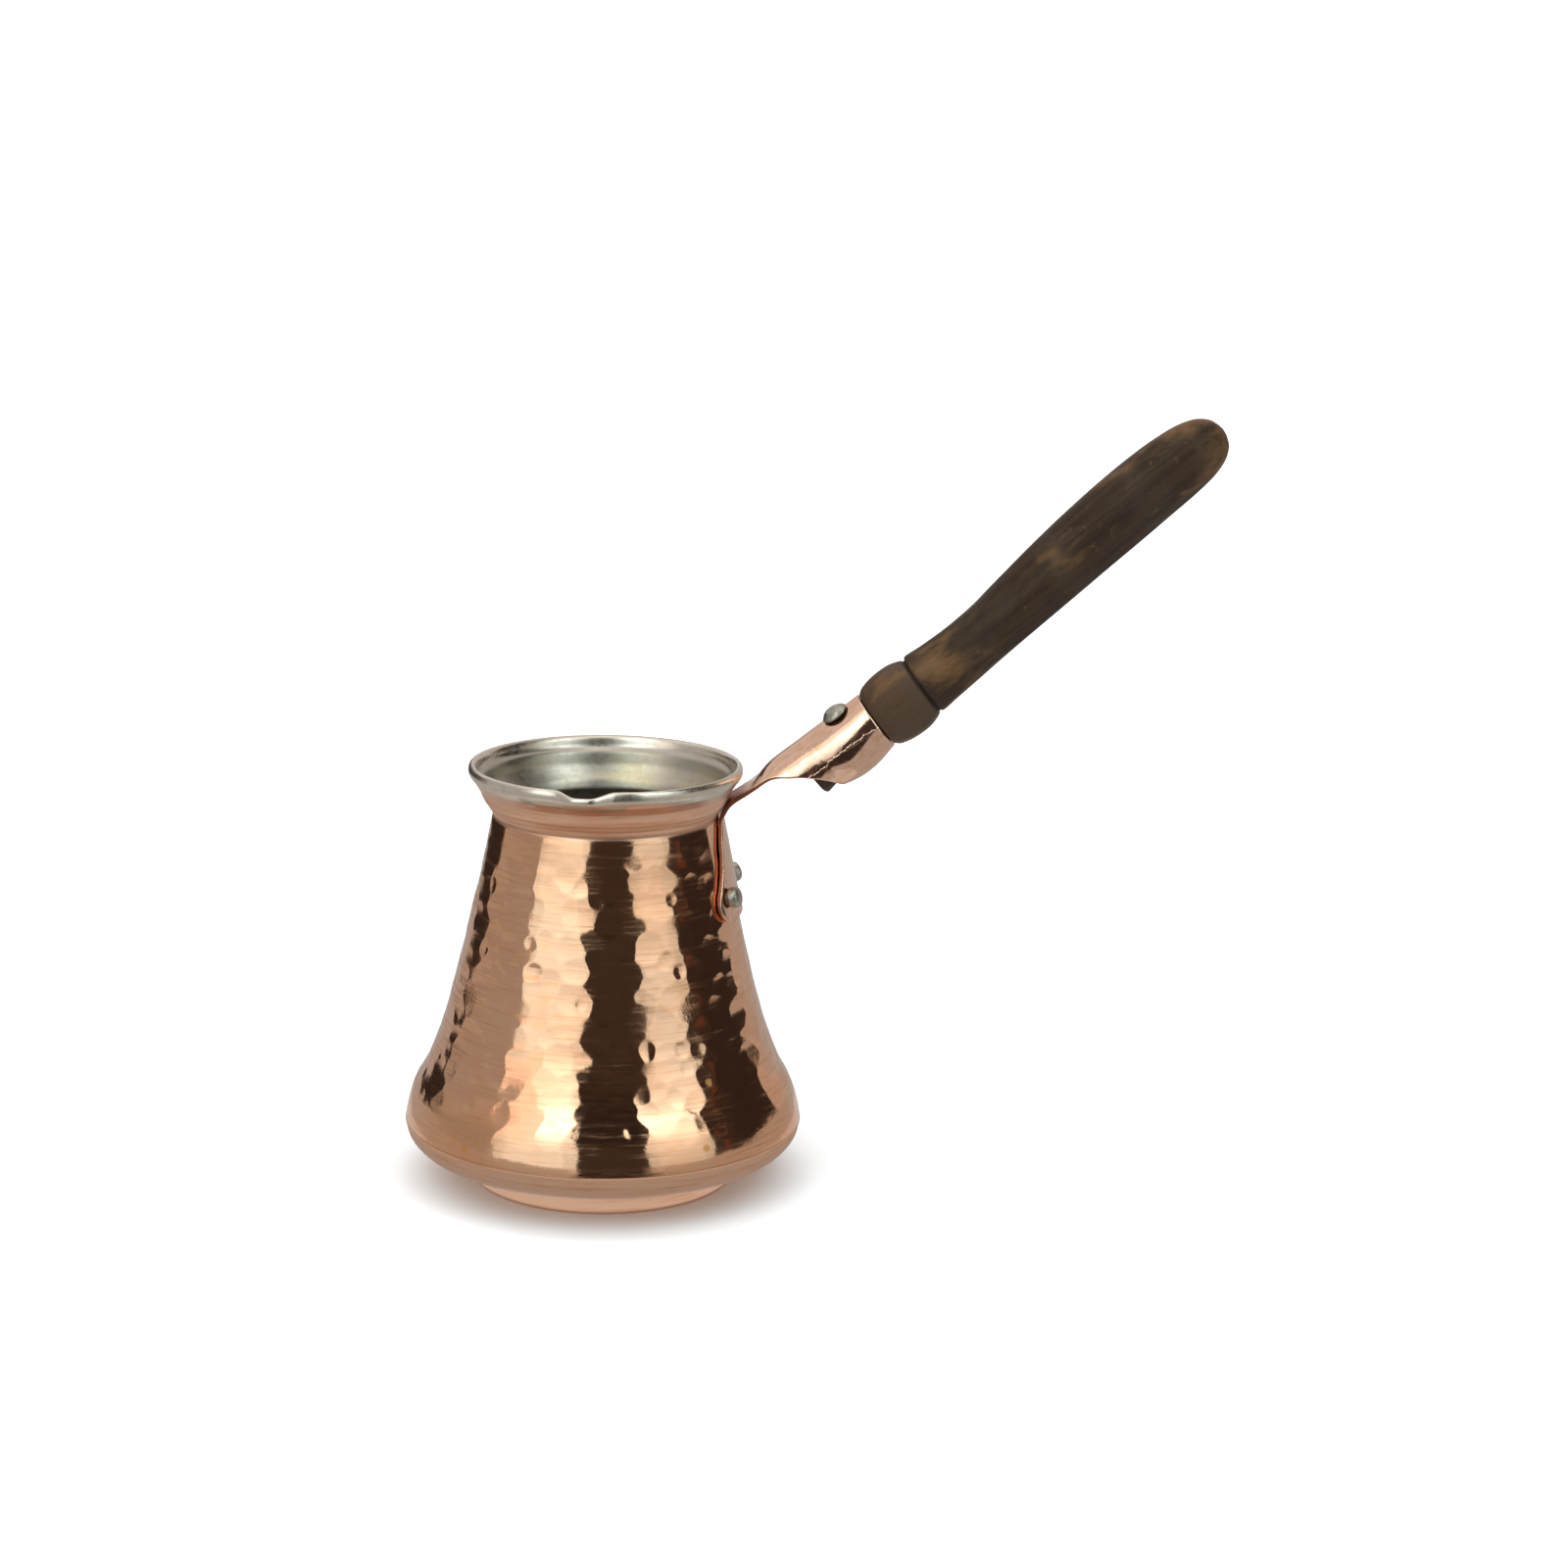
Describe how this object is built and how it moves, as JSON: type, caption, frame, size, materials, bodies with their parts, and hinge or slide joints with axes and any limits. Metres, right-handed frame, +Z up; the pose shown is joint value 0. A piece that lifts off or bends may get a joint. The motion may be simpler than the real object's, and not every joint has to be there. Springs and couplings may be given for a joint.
{
  "type": "turkish coffee pot",
  "caption": "Long-handled hammered copper pot for brewing Turkish coffee, tinned inside, with a pouring lip and a wooden handle in a riveted copper socket.",
  "frame": {"origin": "centre of the flat underside of the foot, on the surface the pot stands on", "axes": "+Z up through the mouth, +X towards the side the handle is on, so the pouring lip is on the -Y side"},
  "size_m": [0.2163, 0.1075, 0.209],
  "materials": {
    "pot_copper": "hammered copper with a soft polish",
    "tin": "wiped tin, dull with use",
    "bracket_copper": "plain copper sheet with a soft polish",
    "handle_wood": "dark brown wood, waxed and matte",
    "rivet_steel": "dull grey metal"
  },
  "bodies": {
    "root": {"pot_body": "pot_copper", "tin_lining": "tin", "handle_bracket": "bracket_copper", "wooden_handle": "handle_wood", "plate_rivet_front": "rivet_steel", "plate_rivet_back": "rivet_steel", "socket_rivet": "rivet_steel"}
  },
  "joints": []
}
